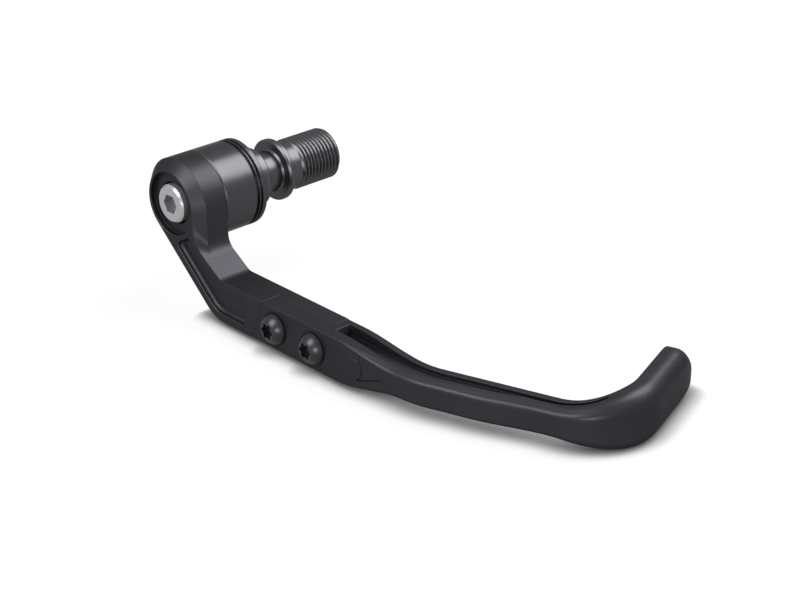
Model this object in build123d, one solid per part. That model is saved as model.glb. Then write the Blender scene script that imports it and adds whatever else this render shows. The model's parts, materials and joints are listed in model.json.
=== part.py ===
from build123d import *
import os
from math import acos, atan2, cos, degrees, hypot, pi, radians, sin, sqrt, tan

# Brake lever guard for a motorbike handlebar, in millimetres.
# +X runs along the guard towards its tip, +Y along the stub into the handlebar, +Z up.
# The origin is on the stub's axis, at the face of the flange that seats on the bar's end.

# Turned stack along the stub's axis, from the arm's front face inboard
arm_thickness = 12.0
collar_length = 17.3
hub_length = 6.3
neck_length = 7.4
flange_thickness = 2.4
pilot_length = 5.3
thread_length = 16.5

collar_diameter = 30.0
collar_chamfer = 0.6
collar_rear_chamfer = 0.3
groove_depth = 0.8
groove_widths = (1.35, 1.05)
groove_offsets = (12.7, 14.4)
hub_diameter = 20.6
hub_chamfer = 0.8
neck_diameter = 14.0
neck_cove = 0.6
flange_diameter = 21.5
flange_chamfer = 0.6
pilot_diameter = 17.0
thread_diameter = 18.0
thread_chamfer = 0.6

# Stainless screw that clamps the stack together
end_screw_diameter = 8.0
end_screw_length = 40.0
end_head_diameter = 13.3
end_head_height = 8.0
end_head_chamfer = 0.7
end_socket_width = 6.0
end_socket_depth = 4.0
end_hole_spare = 4.0

# Arm, seen from the front: eye, strut, fold and straight bar
eye_diameter = 30.0
eye_bevel_radial = 3.5
eye_bevel_axial = 3.4
recess_diameter = 21.6
recess_depth = 2.0
head_clearance = 0.6
arm_bottom = -33.9
arm_height = 14.8
corner_x = 26.1
corner_radius = 13.0
fold_x = 25.6
fold_angle = 32.0
fold_low_radius = 4.0
fold_high_radius = 6.0
bevel_fold_radius = 12.0
seam_top_x = 46.5
seam_bottom_x = 40.0
arm_edge = 0.25
pocket_land = 2.7
pocket_depth = 1.8
pocket_cove = 1.25
pocket_seam_land = 5.0
pocket_eye_land = 1.8
pocket_corner = 2.0

# Lap joint between arm and guard
lap_thickness = 7.0
tongue_end_x = 77.4
tongue_corner = 4.0
lap_gap = 0.15
guard_screw_x = (52.2, 70.6)
guard_screw_diameter = 6.0
guard_head_diameter = 10.6
guard_head_height = 3.3
guard_head_rim = 0.5
guard_head_flat = 3.1
lobe_circle_diameter = 4.1
lobe_diameter = 1.35
lobe_depth = 1.9
lobe_count = 6
spot_face_depth = 0.1
spot_face_margin = 0.4
screw_clearance = 0.2
thread_clearance = 0.05

# Guard blade: plan of its rear face, then its section along the way
blend_start_x = 77.0
lap_run = 8.4
bend_x = 111.6
bend_angle = 18.9
bend_radius = 24.0
blade_run = 59.8
hook_angle = 90.4
hook_radius = 14.5
hook_run = 44.2
lap_bevel = 0.3
lap_round = 0.15
rear_bevel = 0.25
blade_height = 10.6
blade_thickness = 9.3
blade_bevel_across = 2.6
blade_bevel_drop = 1.7
blade_round = 1.6
hook_height = 18.8
hook_rise = 0.25
hook_thickness = 7.5
hook_bevel_across = 2.7
hook_bevel_drop = 3.0
hook_round = 4.0
height_blend = (5.0, 25.0)
edge_blend = (2.0, 26.0)
thickness_blend = (6.0, 36.0)
hook_height_blend = (76.0, 23.6)
hook_thickness_blend = (51.0, 23.2)
tip_length = 9.5
tip_height = 8.0
tip_thickness = 6.5
tip_drop = 4.0
bevel_share = 0.4
drop_share = 0.3
round_share = 1.1
stations = 46
tip_stations = 8

# Pad with a round end on the guard's front, and the channels along its edges
pad_nose_x = 92.6
pad_nose_radius = 3.6
channel_start_x = 77.2
channel_ramp = 1.2
channel_rim = 2.3
channel_land = 0.6
channel_start_width = 5.8
channel_end_width = 0.8
channel_end_rim = 1.2
channel_fade = 76.0
channel_length = 90.0
channel_web = 7.8
channel_stations = 12
crease_start = (90.2, 0.55, -3.65)
crease_end = (100.4, 1.43, -0.3)
crease_width = 0.8
crease_depth = 0.35

# Places that follow from the sizes
arm_rear = -(collar_length + hub_length + neck_length + flange_thickness)
arm_front = arm_rear - arm_thickness
collar_rear = arm_rear + collar_length
hub_rear = collar_rear + hub_length
neck_rear = hub_rear + neck_length
tongue_front = arm_front + lap_thickness
guard_screw_seat = arm_front + spot_face_depth
arm_top = arm_bottom + arm_height
middle_z = arm_bottom + arm_height / 2
end_screw_seat = arm_front + end_head_height
end_screw_tip = end_screw_seat + end_screw_length


def plane_at(y):
    """Upright plane across the stub's axis, drawn as X to the right and Z up."""
    return Plane.XZ.offset(-y)


def slab(outline, start, end):
    """Plate between two places along the stub's axis, from an outline in X and Z."""
    return extrude(plane_at(start) * outline, amount=-(end - start))


def turned(*profile):
    """Solid of revolution about the stub's axis, from points of radius and place along it."""
    return revolve(make_face(Polyline(*profile, close=True)), axis=Axis.Y)


def rod(diameter, start, end, x=0.0, z=0.0):
    """Round bar or hole along Y."""
    return slab(Pos(x, z) * Circle(diameter / 2), start, end)


def smooth_step(value, span):
    """0 before the span's start, 1 past its length, with an even S between."""
    start, length = span
    share = min(max((value - start) / length, 0.0), 1.0)
    return share * share * (3 - 2 * share)


# Arm
def arm_outline(eye_radius, fold_radius):
    """Outline of eye, strut, fold and bar. The outer edge is tangent to eye and corner."""
    corner = Vector(corner_x, arm_bottom + corner_radius)
    turn = atan2(corner.Y, corner.X) - acos((eye_radius - corner_radius) / corner.length)
    outward = Vector(cos(turn), sin(turn))
    outward_angle = degrees(turn) + 360
    fold_z = arm_top + (fold_x - eye_radius) * tan(radians(fold_angle))
    eye = CenterArc((0, 0), eye_radius, 0, outward_angle)
    edge = Line(outward * eye_radius, corner + outward * corner_radius)
    heel = CenterArc(corner, corner_radius, outward_angle, 270 - outward_angle)
    foot = Line((corner_x, arm_bottom), (seam_bottom_x, arm_bottom))
    seam = Line((seam_bottom_x, arm_bottom), (seam_top_x, arm_top))
    inner = FilletPolyline(
        (seam_top_x, arm_top),
        (fold_x, arm_top),
        (eye_radius, fold_z),
        (eye_radius, 0),
        radius=[fold_low_radius, fold_radius],
    )
    return make_face(Curve() + [eye, edge, heel, foot, seam, inner])


def pocket_outline(front_outline):
    """Shallow pocket on the strut and bar: the front outline drawn in by an even land."""
    inset = offset(front_outline, amount=-pocket_land, kind=Kind.INTERSECTION)
    eye_land = Circle(recess_diameter / 2 + pocket_eye_land)
    seam_lean = (seam_top_x - seam_bottom_x) / arm_height
    clear_x = seam_top_x - pocket_seam_land
    far_x = seam_top_x + arm_height
    beyond = Polygon(
        (clear_x, arm_top),
        (clear_x - seam_lean * arm_height, arm_bottom),
        (far_x, arm_bottom),
        (far_x, arm_top),
        align=None,
    )
    pocket = (inset - eye_land - beyond).faces().sort_by(SortBy.AREA)[-1]
    return offset(offset(pocket, amount=-pocket_corner), amount=pocket_corner)


def tongue_outline(gap):
    """Tongue behind the lap, with round end corners, grown by a gap all round."""
    root_x = seam_bottom_x - lap_thickness
    length = tongue_end_x + gap - root_x
    plate = RectangleRounded(length, arm_height + 2 * gap, tongue_corner + gap)
    return Pos(root_x + length / 2, middle_z) * plate


def mounting_arm():
    full = arm_outline(eye_diameter / 2, fold_high_radius)
    front = arm_outline(eye_diameter / 2 - eye_bevel_radial, bevel_fold_radius)
    bevel_rear = arm_front + eye_bevel_axial
    bevel = loft([plane_at(arm_front) * front, plane_at(bevel_rear) * full], ruled=True)
    body = bevel + slab(full, bevel_rear, arm_rear)
    body += slab(tongue_outline(0.0), tongue_front, arm_rear)
    pocket_floor = arm_front + pocket_depth
    body -= slab(pocket_outline(front), arm_front, pocket_floor)
    floor_face = body.faces().filter_by(Axis.Y).filter_by_position(Axis.Y, pocket_floor, pocket_floor)[0]
    body = fillet(floor_face.edges(), min(pocket_cove, pocket_depth - 2 * arm_edge))
    body -= rod(recess_diameter, arm_front, arm_front + recess_depth)
    body -= rod(end_head_diameter + 2 * head_clearance, arm_front, end_screw_seat)
    body -= rod(end_screw_diameter + 2 * screw_clearance, arm_front, arm_rear)
    for x in guard_screw_x:
        body -= rod(guard_screw_diameter + 2 * thread_clearance, tongue_front, arm_rear, x, middle_z)
    front_face = body.faces().filter_by_position(Axis.Y, arm_front, arm_front)[0]
    rims = [edge for wire in front_face.inner_wires() for edge in wire.edges()]
    bar_edge = front_face.outer_wire().edges().filter_by_position(Axis.Z, arm_top, arm_top)
    return chamfer(rims + list(bar_edge), arm_edge)


# Turned pieces on the stub's axis
def spacer_collar():
    radius = collar_diameter / 2
    bore = end_screw_diameter / 2 + screw_clearance
    profile = [
        (bore, arm_rear),
        (radius - collar_chamfer, arm_rear),
        (radius, arm_rear + collar_chamfer),
    ]
    for place, width in zip(groove_offsets, groove_widths):
        start = arm_rear + place
        profile += [
            (radius, start),
            (radius - groove_depth, start),
            (radius - groove_depth, start + width),
            (radius, start + width),
        ]
    profile += [
        (radius, collar_rear - collar_rear_chamfer),
        (radius - collar_rear_chamfer, collar_rear),
        (bore, collar_rear),
    ]
    return turned(*profile)


def bar_end_adapter():
    hub = hub_diameter / 2
    neck = neck_diameter / 2
    flange = flange_diameter / 2
    pilot = pilot_diameter / 2
    thread = thread_diameter / 2
    thread_end = pilot_length + thread_length
    hole = end_screw_diameter / 2 + thread_clearance
    hole_end = end_screw_tip + end_hole_spare
    return turned(
        (hole, collar_rear),
        (hub - hub_chamfer, collar_rear),
        (hub, collar_rear + hub_chamfer),
        (hub, hub_rear - hub_chamfer),
        (hub - hub_chamfer, hub_rear),
        (neck, hub_rear),
        (neck, neck_rear - neck_cove),
        (neck + neck_cove, neck_rear),
        (flange - flange_chamfer, neck_rear),
        (flange, neck_rear + flange_chamfer),
        (flange, -flange_chamfer),
        (flange - flange_chamfer, 0),
        (pilot, 0),
        (pilot, pilot_length - (thread - pilot)),
        (thread, pilot_length),
        (thread, thread_end - thread_chamfer),
        (thread - thread_chamfer, thread_end),
        (0, thread_end),
        (0, hole_end + hole / 2),
        (hole, hole_end),
    )


def bar_end_screw():
    head = end_head_diameter / 2
    shank = end_screw_diameter / 2
    screw = turned(
        (0, arm_front),
        (head - end_head_chamfer, arm_front),
        (head, arm_front + end_head_chamfer),
        (head, end_screw_seat),
        (shank, end_screw_seat),
        (shank, end_screw_tip - end_head_chamfer),
        (shank - end_head_chamfer, end_screw_tip),
        (0, end_screw_tip),
    )
    socket = RegularPolygon(end_socket_width / 2, 6, major_radius=False)
    return screw - slab(socket, arm_front, arm_front + end_socket_depth)


def guard_screw(x):
    """Button-head screw: domed head with a six-lobe recess, shank through lap and tongue."""
    head = guard_head_diameter / 2
    shank = guard_screw_diameter / 2
    top = guard_screw_seat - guard_head_height
    rim = guard_screw_seat - guard_head_rim
    rise = rim - top
    below = (head * head - guard_head_flat * guard_head_flat - rise * rise) / (2 * rise)
    dome = RadiusArc((head, rim), (guard_head_flat, top), sqrt(head * head + below * below))
    rest = Polyline(
        (guard_head_flat, top),
        (0, top),
        (0, arm_rear),
        (shank, arm_rear),
        (shank, guard_screw_seat),
        (head, guard_screw_seat),
        (head, rim),
    )
    screw = revolve(make_face(Curve() + [dome, rest]), axis=Axis.Y)
    lobes = PolarLocations(lobe_circle_diameter / 2, lobe_count) * Circle(lobe_diameter / 2)
    recess = Circle(lobe_circle_diameter / 2) + lobes
    return Pos(x, 0, middle_z) * (screw - slab(recess, top, top + lobe_depth))


# Guard
def rear_path():
    """Plan of the guard's rear face: end of the lap, bend, blade, hook, end of the tip."""
    bend = Vector(bend_x, arm_rear)
    blade = Vector(cos(radians(bend_angle)), sin(radians(bend_angle)))
    tip_angle = radians(bend_angle + hook_angle)
    corner = bend + blade * blade_run
    tip = corner + Vector(cos(tip_angle), sin(tip_angle)) * hook_run
    return FilletPolyline(
        (blend_start_x - lap_run, arm_rear),
        bend,
        corner,
        tip,
        radius=[bend_radius, hook_radius],
    )


def on_path(path, place):
    """Point and direction at a place along the guard, counted from where its blade begins."""
    share = (place + lap_run) / path.length
    return path.position_at(share), path.tangent_at(share)


def mix(first, second, share):
    return first + (second - first) * share


def section_sizes(path, place):
    """Height, thickness, bevel across and down, edge round, and rise of the section's middle."""
    slim = smooth_step(place, height_blend)
    edge = smooth_step(place, edge_blend)
    taper = smooth_step(place, thickness_blend)
    hook = smooth_step(place, hook_height_blend)
    thinning = smooth_step(place, hook_thickness_blend)
    tip_start = path.length - lap_run - tip_length
    past = max(place - tip_start, 0.0) / tip_length
    closing = 1 - sqrt(max(1 - past * past, 0.0))
    height = mix(mix(mix(arm_height, blade_height, slim), hook_height, hook), tip_height, closing)
    thickness = mix(mix(arm_thickness, blade_thickness, taper), hook_thickness, thinning)
    thickness = mix(thickness, tip_thickness, closing)
    across = mix(mix(lap_bevel, blade_bevel_across, edge), hook_bevel_across, hook)
    drop = mix(mix(lap_bevel, blade_bevel_drop, edge), hook_bevel_drop, hook)
    front_round = mix(mix(lap_round, blade_round, edge), hook_round, hook)
    fit = min(1.0, bevel_share * thickness / across, drop_share * height / drop)
    across *= fit
    drop *= fit
    front_round = min(front_round * fit, round_share * hypot(across, drop))
    return height, thickness, across, drop, front_round, hook_rise * hook - tip_drop * closing


def guard_section(path, place):
    """Section across the guard: flat rear, bevelled and rounded front edges, closing at the tip."""
    height, thickness, across, drop, front_round, rise = section_sizes(path, place)
    half = height / 2
    outline = FilletPolyline(
        (0, rear_bevel - half),
        (0, half - rear_bevel),
        (rear_bevel, half),
        (thickness - across, half),
        (thickness, half - drop),
        (thickness, drop - half),
        (thickness - across, -half),
        (rear_bevel, -half),
        radius=[0, 0, 0] + [front_round] * 4 + [0],
        close=True,
    )
    spot, along = on_path(path, place)
    middle = (spot.X, spot.Y, middle_z + rise)
    return Plane(middle, x_dir=(along.Y, -along.X, 0), z_dir=along) * make_face(outline)


def channel(path):
    """Channel in the guard's upper edge, from the rear rim to the front bevel, ending in the hook."""
    rim_side = []
    front_side = []
    for index in range(channel_stations + 1):
        place = channel_length * index / channel_stations
        fade = smooth_step(place, (channel_fade, channel_length - channel_fade))
        rim = mix(channel_rim, channel_end_rim, fade)
        thickness, bevel = section_sizes(path, place)[1:3]
        room = thickness - bevel - rim - channel_land
        width = mix(min(channel_start_width, room), channel_end_width, fade)
        spot, along = on_path(path, place)
        across = Vector(along.Y, -along.X)
        rim_side.append(spot + across * rim)
        front_side.append(spot + across * (rim + width))
    walls = [Spline(*rim_side), Spline(*front_side)]
    ends = [Line(rim_side[0], front_side[0]), Line(rim_side[-1], front_side[-1])]
    floor = middle_z + channel_web / 2
    deep = hook_height
    cut = extrude(Plane.XY.offset(floor) * make_face(Curve() + walls + ends), amount=deep)
    ramp = Polygon(
        (channel_start_x - channel_ramp, floor - channel_ramp),
        (channel_start_x + channel_ramp, floor),
        (channel_start_x, arm_top),
        (channel_start_x - channel_ramp, arm_top),
        align=None,
    )
    return cut - slab(ramp, arm_front, arm_rear)


def crease():
    """Thin straight groove in the front, placed from the pad's face and the guard's middle height."""
    pad_middle = Vector(0, arm_front, middle_z)
    start = pad_middle + Vector(*crease_start)
    run = pad_middle + Vector(*crease_end) - start
    side = Vector(0, -1, 0).cross(run)
    plane = Plane(start, x_dir=run, z_dir=run.cross(side))
    groove = Pos(run.length / 2, 0, 0) * Box(run.length, crease_width, 2 * crease_depth)
    return plane * groove


def lever_guard():
    path = rear_path()
    blade_length = path.length - tip_length
    tip_start = blade_length - lap_run
    places = [blade_length * i / stations - lap_run for i in range(stations + 1)]
    places += [tip_start + tip_length * sin(pi / 2 * i / tip_stations) for i in range(1, tip_stations + 1)]
    blade = loft([guard_section(path, place) for place in places])
    lap_end_x = blend_start_x - lap_run
    lap_room = Polygon(
        (seam_bottom_x + lap_gap, arm_bottom),
        (lap_end_x, arm_bottom),
        (lap_end_x, arm_top),
        (seam_top_x + lap_gap, arm_top),
        align=None,
    )
    lap = extrude(guard_section(path, -lap_run), amount=-(lap_end_x - seam_bottom_x))
    lap &= slab(lap_room, arm_front, arm_rear)
    nose_middle = pad_nose_x - pad_nose_radius
    nose = Pos(nose_middle, middle_z) * Circle(pad_nose_radius)
    nose += Pos((nose_middle + blend_start_x) / 2, middle_z) * Rectangle(
        nose_middle - blend_start_x, 2 * pad_nose_radius
    )
    guard = lap + blade + slab(nose, arm_front, tongue_front)
    guard -= slab(tongue_outline(lap_gap), tongue_front, arm_rear + lap_gap)
    upper = channel(path)
    guard -= upper
    guard -= mirror(upper, Plane.XY.offset(middle_z))
    guard -= crease()
    for x in guard_screw_x:
        guard -= rod(guard_screw_diameter + 2 * screw_clearance, arm_front, tongue_front, x, middle_z)
        spot_face = guard_head_diameter + 2 * spot_face_margin
        guard -= rod(spot_face, arm_front - spot_face_depth, guard_screw_seat, x, middle_z)
    return guard


nodes = {
    "mounting_arm": mounting_arm(),
    "lever_guard": lever_guard(),
    "spacer_collar": spacer_collar(),
    "bar_end_adapter": bar_end_adapter(),
    "bar_end_screw": bar_end_screw(),
    "guard_screws": Compound(children=[guard_screw(x) for x in guard_screw_x]),
}

os.makedirs("parts", exist_ok=True)
for name, shape in nodes.items():
    export_step(shape, f"parts/{name}.step")
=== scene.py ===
# %% [markdown]
# # Brake lever guard
# A guard that keeps a motorbike's brake lever from being pressed by another rider or a branch.
# A turned stub screws into the handlebar's end, a collar and an arm are clamped to it by one
# stainless screw, and a moulded blade with a hooked tip is held to the arm by two black screws.
# The CAD model gives every form and its place, in metres. This lesson dresses it: it sets up the
# camera and the light, cuts the stub's thread, and gives each piece its finish.

# %% Load the frame
import json
from math import ceil, radians

import bpy
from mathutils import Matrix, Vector

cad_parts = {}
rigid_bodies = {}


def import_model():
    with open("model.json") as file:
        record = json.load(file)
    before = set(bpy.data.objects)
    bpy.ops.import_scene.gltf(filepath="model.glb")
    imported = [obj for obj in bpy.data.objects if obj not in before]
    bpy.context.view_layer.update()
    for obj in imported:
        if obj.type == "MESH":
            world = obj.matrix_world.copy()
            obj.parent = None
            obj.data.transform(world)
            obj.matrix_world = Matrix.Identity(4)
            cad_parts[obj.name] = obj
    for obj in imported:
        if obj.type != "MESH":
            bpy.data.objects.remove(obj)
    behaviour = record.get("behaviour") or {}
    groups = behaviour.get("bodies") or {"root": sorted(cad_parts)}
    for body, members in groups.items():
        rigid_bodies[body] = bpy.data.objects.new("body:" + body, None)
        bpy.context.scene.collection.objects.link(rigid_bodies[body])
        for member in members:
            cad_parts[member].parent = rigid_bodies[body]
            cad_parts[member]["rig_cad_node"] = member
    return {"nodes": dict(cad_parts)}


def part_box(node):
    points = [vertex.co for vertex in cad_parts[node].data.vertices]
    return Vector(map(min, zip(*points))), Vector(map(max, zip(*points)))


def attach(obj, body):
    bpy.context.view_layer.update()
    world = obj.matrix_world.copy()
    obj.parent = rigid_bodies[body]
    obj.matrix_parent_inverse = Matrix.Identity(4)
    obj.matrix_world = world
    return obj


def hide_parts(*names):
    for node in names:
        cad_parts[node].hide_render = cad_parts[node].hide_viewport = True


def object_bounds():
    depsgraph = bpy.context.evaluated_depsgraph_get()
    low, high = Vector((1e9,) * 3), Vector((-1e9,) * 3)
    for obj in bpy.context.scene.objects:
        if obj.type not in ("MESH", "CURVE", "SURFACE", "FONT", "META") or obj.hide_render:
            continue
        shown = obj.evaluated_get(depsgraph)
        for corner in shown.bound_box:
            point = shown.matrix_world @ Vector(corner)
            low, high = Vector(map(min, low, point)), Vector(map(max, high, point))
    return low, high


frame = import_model()
cad_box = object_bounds()
nodes = frame["nodes"]
MM = 0.001
print("CAD pieces:", ", ".join(sorted(nodes)))

# %% [markdown]
# ## Camera
# The photograph is a three-quarter view from above, taken with a long lens, so parallel edges
# hardly converge. The place below was found from the stub's circles and the straight edges, and
# a lens of 85 mm gives the same narrow field.

# %% Camera
CAMERA_PLACE = Vector((469.763, -384.241, 247.550)) * MM
CAMERA_AZIMUTH = 46.6964
CAMERA_DROP = 26.2046
LENS_MM = 85.47
NEAREST_SEEN = 10 * MM

bpy.ops.object.select_all(action="DESELECT")
bpy.ops.object.camera_add(
    location=CAMERA_PLACE,
    rotation=(radians(90 - CAMERA_DROP), 0, radians(CAMERA_AZIMUTH)),
)
camera = bpy.context.object
camera.name = "camera"
camera.data.lens = LENS_MM
camera.data.clip_start = NEAREST_SEEN
bpy.context.scene.camera = camera
print("camera at", tuple(round(x, 3) for x in camera.location))

# %% [markdown]
# ## Shader maths
# A finish is easier to read as a sum than as a heap of nodes. A Wire holds one output of a node.
# Adding or multiplying wires adds Math nodes, and `node` adds any other kind.

# %% A wire between shader nodes
class Wire:
    """One output of a shader node, or the bare node tree that new nodes are added to."""

    def __init__(self, tree, socket=None):
        self.tree = tree
        self.socket = socket

    def node(self, kind, settings=None, inputs=None, output=0):
        """Adds a node. Its settings are set first, then its sockets get values or wires."""
        made = self.tree.nodes.new(kind)
        for name, value in (settings or {}).items():
            setattr(made, name, value)
        for name, value in (inputs or {}).items():
            if isinstance(value, Wire):
                self.tree.links.new(value.socket, made.inputs[name])
            else:
                made.inputs[name].default_value = value
        return Wire(self.tree, made.outputs[output]) if made.outputs else made

    def math(self, operation, first, second):
        """Adds a Math node. Each side of it is a wire or a number."""
        return self.node("ShaderNodeMath", {"operation": operation}, {0: first, 1: second})

    def __add__(self, other):
        return self.math("ADD", self, other)

    def __radd__(self, other):
        return self.math("ADD", other, self)

    def __sub__(self, other):
        return self.math("SUBTRACT", self, other)

    def __rsub__(self, other):
        return self.math("SUBTRACT", other, self)

    def __mul__(self, other):
        return self.math("MULTIPLY", self, other)

    def __rmul__(self, other):
        return self.math("MULTIPLY", other, self)

    def __pow__(self, other):
        return self.math("POWER", self, other)

    def at_least(self, other):
        return self.math("MAXIMUM", self, other)

    def at_most(self, other):
        return self.math("MINIMUM", self, other)


print("wires ready")

# %% Helpers for finishes
MIX_FIRST_COLOUR = 6
MIX_SECOND_COLOUR = 7
MIX_RESULT_COLOUR = 2


def new_finish(name):
    """Empty material, and the wire that its nodes start from."""
    material = bpy.data.materials.new(name)
    material.use_nodes = True
    material.node_tree.nodes.clear()
    return material, Wire(material.node_tree)


def surface(start, shader):
    """Joins a shader to the material's output."""
    start.node("ShaderNodeOutputMaterial", {}, {"Surface": shader})


def opaque(colour, gain=1.0):
    """Colour socket's value: red, green and blue times a gain, with full cover."""
    return tuple(gain * c for c in colour) + (1.0,)


def mixed(start, share, first, second):
    """Colour between two colours."""
    return start.node(
        "ShaderNodeMix",
        {"data_type": "RGBA"},
        {"Factor": share, MIX_FIRST_COLOUR: first, MIX_SECOND_COLOUR: second},
        output=MIX_RESULT_COLOUR,
    )


def grain(start, size, detail, stretch=(1, 1, 1)):
    """Noise on the piece's own coordinates, with spots of about that size in metres."""
    place = start.node("ShaderNodeTexCoord", output="Object")
    scaled = start.node("ShaderNodeMapping", {}, {"Vector": place, "Scale": stretch})
    return start.node(
        "ShaderNodeTexNoise", {}, {"Vector": scaled, "Scale": 1 / size, "Detail": detail}
    )


def varied(pattern, middle, spread):
    """Number that a pattern moves about its middle."""
    return pattern * spread + (middle - spread / 2)


print("helpers for finishes ready")

# %% [markdown]
# ## Edges
# On real metal and plastic no edge is quite sharp. A Bevel node gives the rounded normal without a
# change of the mesh. Where that normal leaves the face's own there is an edge, and the edges that
# stand free get a painted highlight: their colour is made lighter. Where little room is open it is
# a corner or a seam, which gets no painted highlight.

# %% Rounded edges with a painted highlight
EDGE_SAMPLES = 6
EDGE_ROOM = 0.8 * MM
EDGE_ROOM_FALL = 4.0
EDGE_ROOM_SAMPLES = 8
EDGE_HIGHLIGHT_SHARE = 2.0
EDGE_HIGHLIGHT_GAIN = 4.0


def rounded_edges(start, radius):
    """Normal with the edges rounded off."""
    return start.node("ShaderNodeBevel", {"samples": EDGE_SAMPLES}, {"Radius": radius})


def painted_edge_highlight(start, tint, colour, rounded):
    """Tint with a painted highlight: lighter on the edges that stand free."""
    plain = start.node("ShaderNodeNewGeometry", output="Normal")
    along = start.node(
        "ShaderNodeVectorMath", {"operation": "DOT_PRODUCT"}, {0: rounded, 1: plain}, output="Value"
    )
    room = start.node(
        "ShaderNodeAmbientOcclusion",
        {"samples": EDGE_ROOM_SAMPLES},
        {"Distance": EDGE_ROOM},
        output="AO",
    )
    # Painted highlight: the free edges get a lighter colour that stands in for the light they catch.
    highlit_edge = ((1 - along) * EDGE_HIGHLIGHT_GAIN).at_most(1.0) * room**EDGE_ROOM_FALL
    return mixed(start, highlit_edge, tint, opaque(colour, EDGE_HIGHLIGHT_SHARE))


# The painted edge highlight is this many times the piece's colour.
print("edges rub to", EDGE_HIGHLIGHT_SHARE, "times the colour")

# %% [markdown]
# ## Floor and light
# The object lies on white. The floor is a dull surface that hardly sends light back, with a glow
# that only the camera and mirror-like surfaces see, so the background is white and no extra light
# falls on the object. The glow fades where the object is close, which gives the dark line of
# contact. The fading looks towards the front, so the floor under and behind the blade is dark and
# the floor before it stays white.
# The sky is made the same way: white to the camera and in reflections, dim as a light.
# A large soft lamp above and behind gives the long highlights on the upper edges, one in front
# fills the faces towards the camera, and a small low one at the right draws the bevels' edges.

# %% Floor
scene = bpy.context.scene
scene.view_settings.view_transform = "Standard"
FLOOR_SIZE = 6.0
FLOOR_COLOUR = (0.08, 0.08, 0.08)
FLOOR_GLOW = 0.90
CONTACT_REACH = 7.5 * MM
CONTACT_FALL = 6.5
CONTACT_SAMPLES = 16
OPEN_TOWARDS = Vector((0.70, -0.58, 0.35)).normalized()


def seen_directly(start):
    """1 for rays from the camera and from mirror-like or clear surfaces, 0 for the rest."""
    camera_ray = start.node("ShaderNodeLightPath", output="Is Camera Ray")
    glossy_ray = start.node("ShaderNodeLightPath", output="Is Glossy Ray")
    clear_ray = start.node("ShaderNodeLightPath", output="Is Transmission Ray")
    return camera_ray.at_least(glossy_ray).at_least(clear_ray)


white_floor, start = new_finish("white floor")
dull = start.node("ShaderNodeBsdfDiffuse", {}, {"Color": opaque(FLOOR_COLOUR)})
open_towards = start.node("ShaderNodeCombineXYZ", {}, dict(zip("XYZ", OPEN_TOWARDS)))
openness = start.node(
    "ShaderNodeAmbientOcclusion",
    {"samples": CONTACT_SAMPLES},
    {"Distance": CONTACT_REACH, "Normal": open_towards},
    output="AO",
)
glow = start.node(
    "ShaderNodeEmission", {}, {"Strength": seen_directly(start) * FLOOR_GLOW * openness**CONTACT_FALL}
)
surface(start, start.node("ShaderNodeAddShader", {}, {0: dull, 1: glow}))

bpy.ops.object.select_all(action="DESELECT")
bpy.ops.mesh.primitive_plane_add(size=FLOOR_SIZE, location=(0, 0, cad_box[0][2]))
floor = bpy.context.object
floor.name = "floor"
floor.data.materials.append(white_floor)
print("floor at", round(cad_box[0][2], 4))

# %% Sky
SKY_LOW = 0.176
SKY_HIGH = 0.32
WHITE = (1.0, 1.0, 1.0)

world = bpy.data.worlds.new("studio")
scene.world = world
world.use_nodes = True
world.node_tree.nodes.clear()
start = Wire(world.node_tree)
direction = start.node("ShaderNodeTexCoord", output="Generated")
height = start.node("ShaderNodeSeparateXYZ", {}, {"Vector": direction}, output="Z").at_least(0.0)
dim = SKY_LOW + height * (SKY_HIGH - SKY_LOW)
direct = seen_directly(start)
sky = start.node(
    "ShaderNodeBackground", {}, {"Color": opaque(WHITE), "Strength": direct + (1 - direct) * dim}
)
start.node("ShaderNodeOutputWorld", {}, {"Surface": sky})
print("sky lights from", SKY_LOW, "at the horizon to", SKY_HIGH, "overhead")

# %% Lamps
MIDDLE = Vector((70, -20, -15)) * MM
LAMPS = {
    "overhead lamp": {"offset": (0.15, 0.43, 0.54), "size": 0.52, "power": 8.0},
    "right lamp": {"offset": (0.66, -0.70, 0.10), "size": 0.24, "power": 4.0},
    "front lamp": {"offset": (-0.08, -0.64, 0.62), "size": 0.5, "power": 7.5},
}


def soft_lamp(name, offset, size, power):
    """Square lamp that stands off the object's middle and faces it."""
    away = Vector(offset)
    bpy.ops.object.light_add(type="AREA", location=MIDDLE + away)
    lamp = bpy.context.object
    lamp.name = name
    lamp.data.size = size
    lamp.data.energy = power
    lamp.rotation_euler = (-away).to_track_quat("-Z", "Y").to_euler()


for name, values in LAMPS.items():
    soft_lamp(name, **values)
print("lamps:", ", ".join(LAMPS))

# %% [markdown]
# ## Thread of the stub
# The stub's outer end carries a fine M18 thread, eleven turns of 1.5 mm. The CAD model has a plain
# cylinder of the thread's outer size there, because a thread is slow to model and to check as a
# solid. Here a V-shaped groove is wound along the stub with a Screw modifier, and a Boolean cuts
# it out of a copy of the stub, so the rest of the stub keeps its exact form. A bump pattern would
# be quicker, but it would leave the outline smooth.

# %% Copy of the turned stub
MERGE_WITHIN = 0.001 * MM


def choose(piece):
    """Selects one piece alone and makes it the active one."""
    bpy.ops.object.select_all(action="DESELECT")
    piece.select_set(True)
    bpy.context.view_layer.objects.active = piece


choose(nodes["bar_end_adapter"])
bpy.ops.object.duplicate()
stub = bpy.context.object
stub.name = "threaded_stub"
del stub["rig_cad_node"]
bpy.ops.mesh.customdata_custom_splitnormals_clear()
bpy.ops.object.mode_set(mode="EDIT")
bpy.ops.mesh.select_all(action="SELECT")
bpy.ops.mesh.remove_doubles(threshold=MERGE_WITHIN)
bpy.ops.object.mode_set(mode="OBJECT")
print("stub copied with", len(stub.data.polygons), "faces")

# %% Section of the groove
THREAD_RADIUS = 9.0 * MM
THREAD_START = 5.1 * MM
GROOVE_DEPTH = 0.66 * MM
GROOVE_MOUTH = 1.1 * MM
GROOVE_ROOT = 0.3 * MM
GROOVE_CLEAR = 0.15 * MM

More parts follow.
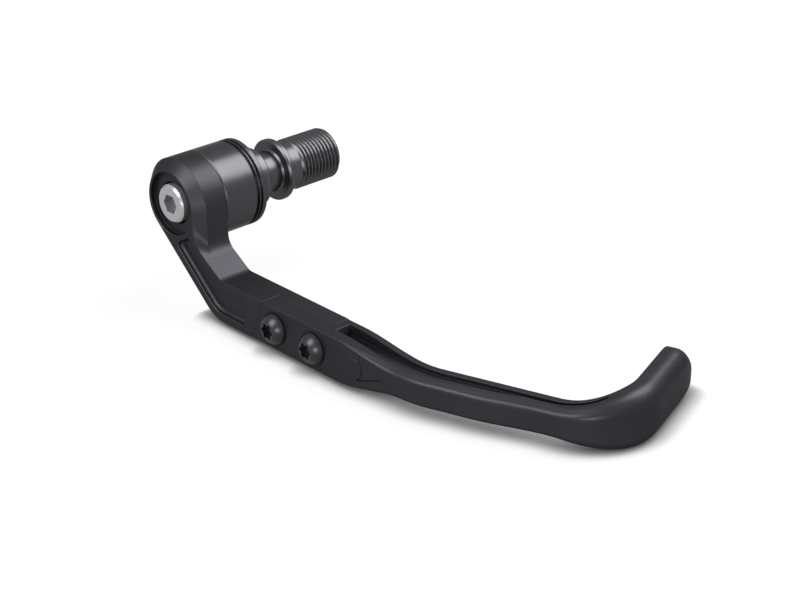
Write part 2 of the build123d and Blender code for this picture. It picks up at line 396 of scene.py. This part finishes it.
groove_height = GROOVE_DEPTH + GROOVE_CLEAR
groove_middle = THREAD_RADIUS - GROOVE_DEPTH + groove_height / 2
outer_width = GROOVE_ROOT + (GROOVE_MOUTH - GROOVE_ROOT) * groove_height / GROOVE_DEPTH

bpy.ops.object.select_all(action="DESELECT")
bpy.ops.mesh.primitive_plane_add(size=1, location=(0, 0, 0))
groove = bpy.context.object
groove.name = "thread_groove"
bpy.ops.object.mode_set(mode="EDIT")
bpy.ops.mesh.select_all(action="SELECT")
bpy.ops.transform.resize(value=(groove_height, outer_width, 1), center_override=(0, 0, 0))
bpy.ops.transform.translate(value=(groove_middle, THREAD_START, 0))
bpy.ops.mesh.delete(type="ONLY_FACE")
bpy.ops.object.mode_set(mode="OBJECT")
for vertex in groove.data.vertices:
    vertex.select = vertex.co.x < groove_middle
for edge in groove.data.edges:
    edge.select = all(groove.data.vertices[i].select for i in edge.vertices)
bpy.ops.object.mode_set(mode="EDIT")
bpy.ops.transform.resize(
    value=(1, GROOVE_ROOT / outer_width, 1), center_override=(groove_middle, THREAD_START, 0)
)
bpy.ops.object.mode_set(mode="OBJECT")
section_sides = len(groove.data.edges)
print("groove's section has", section_sides, "sides")

# %% Wind the groove along the stub
PITCH = 1.5 * MM
STEPS_A_TURN = 72

stub_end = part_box("bar_end_adapter")[1].y
groove_turns = ceil((stub_end - THREAD_START) / PITCH) + 1
bpy.ops.object.modifier_add(type="SCREW")
winding = groove.modifiers[-1]
winding.axis = "Y"
winding.screw_offset = PITCH
winding.iterations = groove_turns
winding.steps = STEPS_A_TURN
winding.render_steps = STEPS_A_TURN
bpy.ops.object.modifier_apply(modifier=winding.name)
bpy.ops.object.mode_set(mode="EDIT")
bpy.ops.mesh.select_all(action="SELECT")
bpy.ops.mesh.fill_holes(sides=section_sides)
bpy.ops.mesh.select_all(action="SELECT")
bpy.ops.mesh.normals_make_consistent(inside=False)
bpy.ops.object.mode_set(mode="OBJECT")
print("groove of", groove_turns, "turns with", len(groove.data.polygons), "faces")

# %% Cut the groove out
SMOOTH_BELOW = radians(28)

choose(stub)
bpy.ops.object.modifier_add(type="BOOLEAN")
cut = stub.modifiers[-1]
cut.operation = "DIFFERENCE"
cut.solver = "EXACT"
cut.object = groove
bpy.ops.object.modifier_apply(modifier=cut.name)
choose(groove)
bpy.ops.object.delete()
choose(stub)
bpy.ops.object.shade_smooth_by_angle(angle=SMOOTH_BELOW)
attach(stub, "root")
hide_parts("bar_end_adapter")
print("threaded stub has", len(stub.data.polygons), "faces")

# %% [markdown]
# ## Anodised aluminium
# Arm, collar and stub are machined from aluminium and dyed black in the anodising bath. The dye
# leaves a satin skin: dark, a little bluish, with the metal's reflection under it and the cutter's
# fine lines, which run round the turned pieces. A dyed skin mirrors no more at a flat angle than
# straight on, which an edge tint of one half gives. About four fifths of the light that comes back
# is mirrored and the rest is dull, and the Metallic value sets that share.

# %% Black anodised finish
EDGE_TINT = (0.5, 0.5, 0.5)
TURNED = (1, 12, 1)
MILLED = (3, 3, 3)
CUT_LINES = {"size": 0.6 * MM, "detail": 3.0}
DYE_CLOUDS = {"size": 9 * MM, "detail": 2.0}
DYE_CLOUD_SHARE = 0.6
CUT_LINE_SHARE = 0.4
PALER_DYE = 1.3
ANODISED_BUMP = {"Strength": 0.05, "Distance": 0.02 * MM}
ANODISED_SPREAD = 0.08


def anodised(name, colour, metal, roughness, edge, lines_run):
    """Dyed aluminium with the cutter's lines. The edge is the radius that its edges round to."""
    material, start = new_finish(name)
    lines = grain(start, **CUT_LINES, stretch=lines_run)
    clouds = grain(start, **DYE_CLOUDS)
    dye_share = clouds * DYE_CLOUD_SHARE + lines * CUT_LINE_SHARE
    dyed = mixed(start, dye_share, opaque(colour), opaque(colour, PALER_DYE))
    rounded = rounded_edges(start, edge)
    bump = start.node("ShaderNodeBump", {}, {**ANODISED_BUMP, "Height": lines, "Normal": rounded})
    shader = start.node(
        "ShaderNodeBsdfPrincipled",
        {},
        {
            # Base colour with a painted highlight on the free edges.
            "Base Color": painted_edge_highlight(start, dyed, colour, rounded),
            "Metallic": metal,
            "Roughness": varied(lines, roughness, ANODISED_SPREAD),
            "Specular IOR Level": 0.0,
            "Specular Tint": opaque(EDGE_TINT),
            "Normal": bump,
        },
    )
    surface(start, shader)
    return material


arm_finish = anodised(
    "arm anodised",
    (0.028, 0.0285, 0.0315),
    metal=0.78,
    roughness=0.42,
    edge=0.35 * MM,
    lines_run=MILLED,
)
collar_finish = anodised(
    "collar anodised",
    (0.045, 0.045, 0.049),
    metal=0.85,
    roughness=0.29,
    edge=0.2 * MM,
    lines_run=TURNED,
)
stub_finish = anodised(
    "stub anodised",
    (0.056, 0.056, 0.060),
    metal=0.80,
    roughness=0.29,
    edge=0.05 * MM,
    lines_run=TURNED,
)
print("anodised finishes:", arm_finish.name, collar_finish.name, stub_finish.name)

# %% [markdown]
# ## Moulded plastic
# The guard is glass-filled nylon from a spark-eroded mould: matt black, with a fine grain that
# breaks the highlight up but leaves it soft. It shines through the same Metallic value as the
# anodised pieces, because that gives a dark, even gloss.

# %% Guard's plastic
MOULD_GRAIN = {"size": 0.35 * MM, "detail": 4.0}
MOULD_CLOUDS = {"size": 14 * MM, "detail": 2.0}
PALER_PLASTIC = 1.3
MOULD_EDGE = 0.3 * MM
MOULDED_BUMP = {"Strength": 0.12, "Distance": 0.03 * MM}
MOULDED_SPREAD = 0.1


def moulded(name, colour, gloss, roughness):
    """Matt plastic with the mould's grain."""
    material, start = new_finish(name)
    fine = grain(start, **MOULD_GRAIN)
    clouds = grain(start, **MOULD_CLOUDS)
    black = mixed(start, clouds, opaque(colour), opaque(colour, PALER_PLASTIC))
    rounded = rounded_edges(start, MOULD_EDGE)
    bump = start.node("ShaderNodeBump", {}, {**MOULDED_BUMP, "Height": fine, "Normal": rounded})
    shader = start.node(
        "ShaderNodeBsdfPrincipled",
        {},
        {
            # Base colour with a painted highlight on the free edges.
            "Base Color": painted_edge_highlight(start, black, colour, rounded),
            "Metallic": gloss,
            "Roughness": varied(fine, roughness, MOULDED_SPREAD),
            "Specular IOR Level": 0.0,
            "Specular Tint": opaque(EDGE_TINT),
            "Normal": bump,
        },
    )
    surface(start, shader)
    return material


guard_finish = moulded("guard plastic", (0.0265, 0.027, 0.0305), gloss=0.75, roughness=0.40)
print("plastic finish:", guard_finish.name)

# %% [markdown]
# ## Screws
# The end screw is bright stainless steel with a fine ground skin. The guard's screws are blackened
# steel, smoother than the plastic round them, so they catch small sharp highlights.

# %% Steel finishes
GROUND_SKIN = {"size": 0.4 * MM, "detail": 3.0}
PALER_STEEL = 1.2
STEEL_EDGE = 0.15 * MM
STEEL_SPREAD = 0.1


def steel(name, colour, metal, roughness):
    """Steel with a fine ground skin, bright or blackened by its colour."""
    material, start = new_finish(name)
    ground = grain(start, **GROUND_SKIN)
    shader = start.node(
        "ShaderNodeBsdfPrincipled",
        {},
        {
            "Base Color": mixed(start, ground, opaque(colour), opaque(colour, PALER_STEEL)),
            "Metallic": metal,
            "Roughness": varied(ground, roughness, STEEL_SPREAD),
            "Normal": rounded_edges(start, STEEL_EDGE),
        },
    )
    surface(start, shader)
    return material


stainless_finish = steel("stainless steel", (0.30, 0.30, 0.31), metal=0.7, roughness=0.27)
black_steel_finish = steel("black steel", (0.026, 0.026, 0.029), metal=0.8, roughness=0.33)
print("steel finishes:", stainless_finish.name, black_steel_finish.name)

# %% Dress the pieces
FINISHES = {
    "mounting_arm": arm_finish,
    "spacer_collar": collar_finish,
    "lever_guard": guard_finish,
    "bar_end_screw": stainless_finish,
    "guard_screws": black_steel_finish,
}
for name, finish in FINISHES.items():
    for slot in nodes[name].material_slots:
        slot.material = finish
stub.data.materials.clear()
stub.data.materials.append(stub_finish)
print("finishes given to", len(FINISHES) + 1, "pieces")
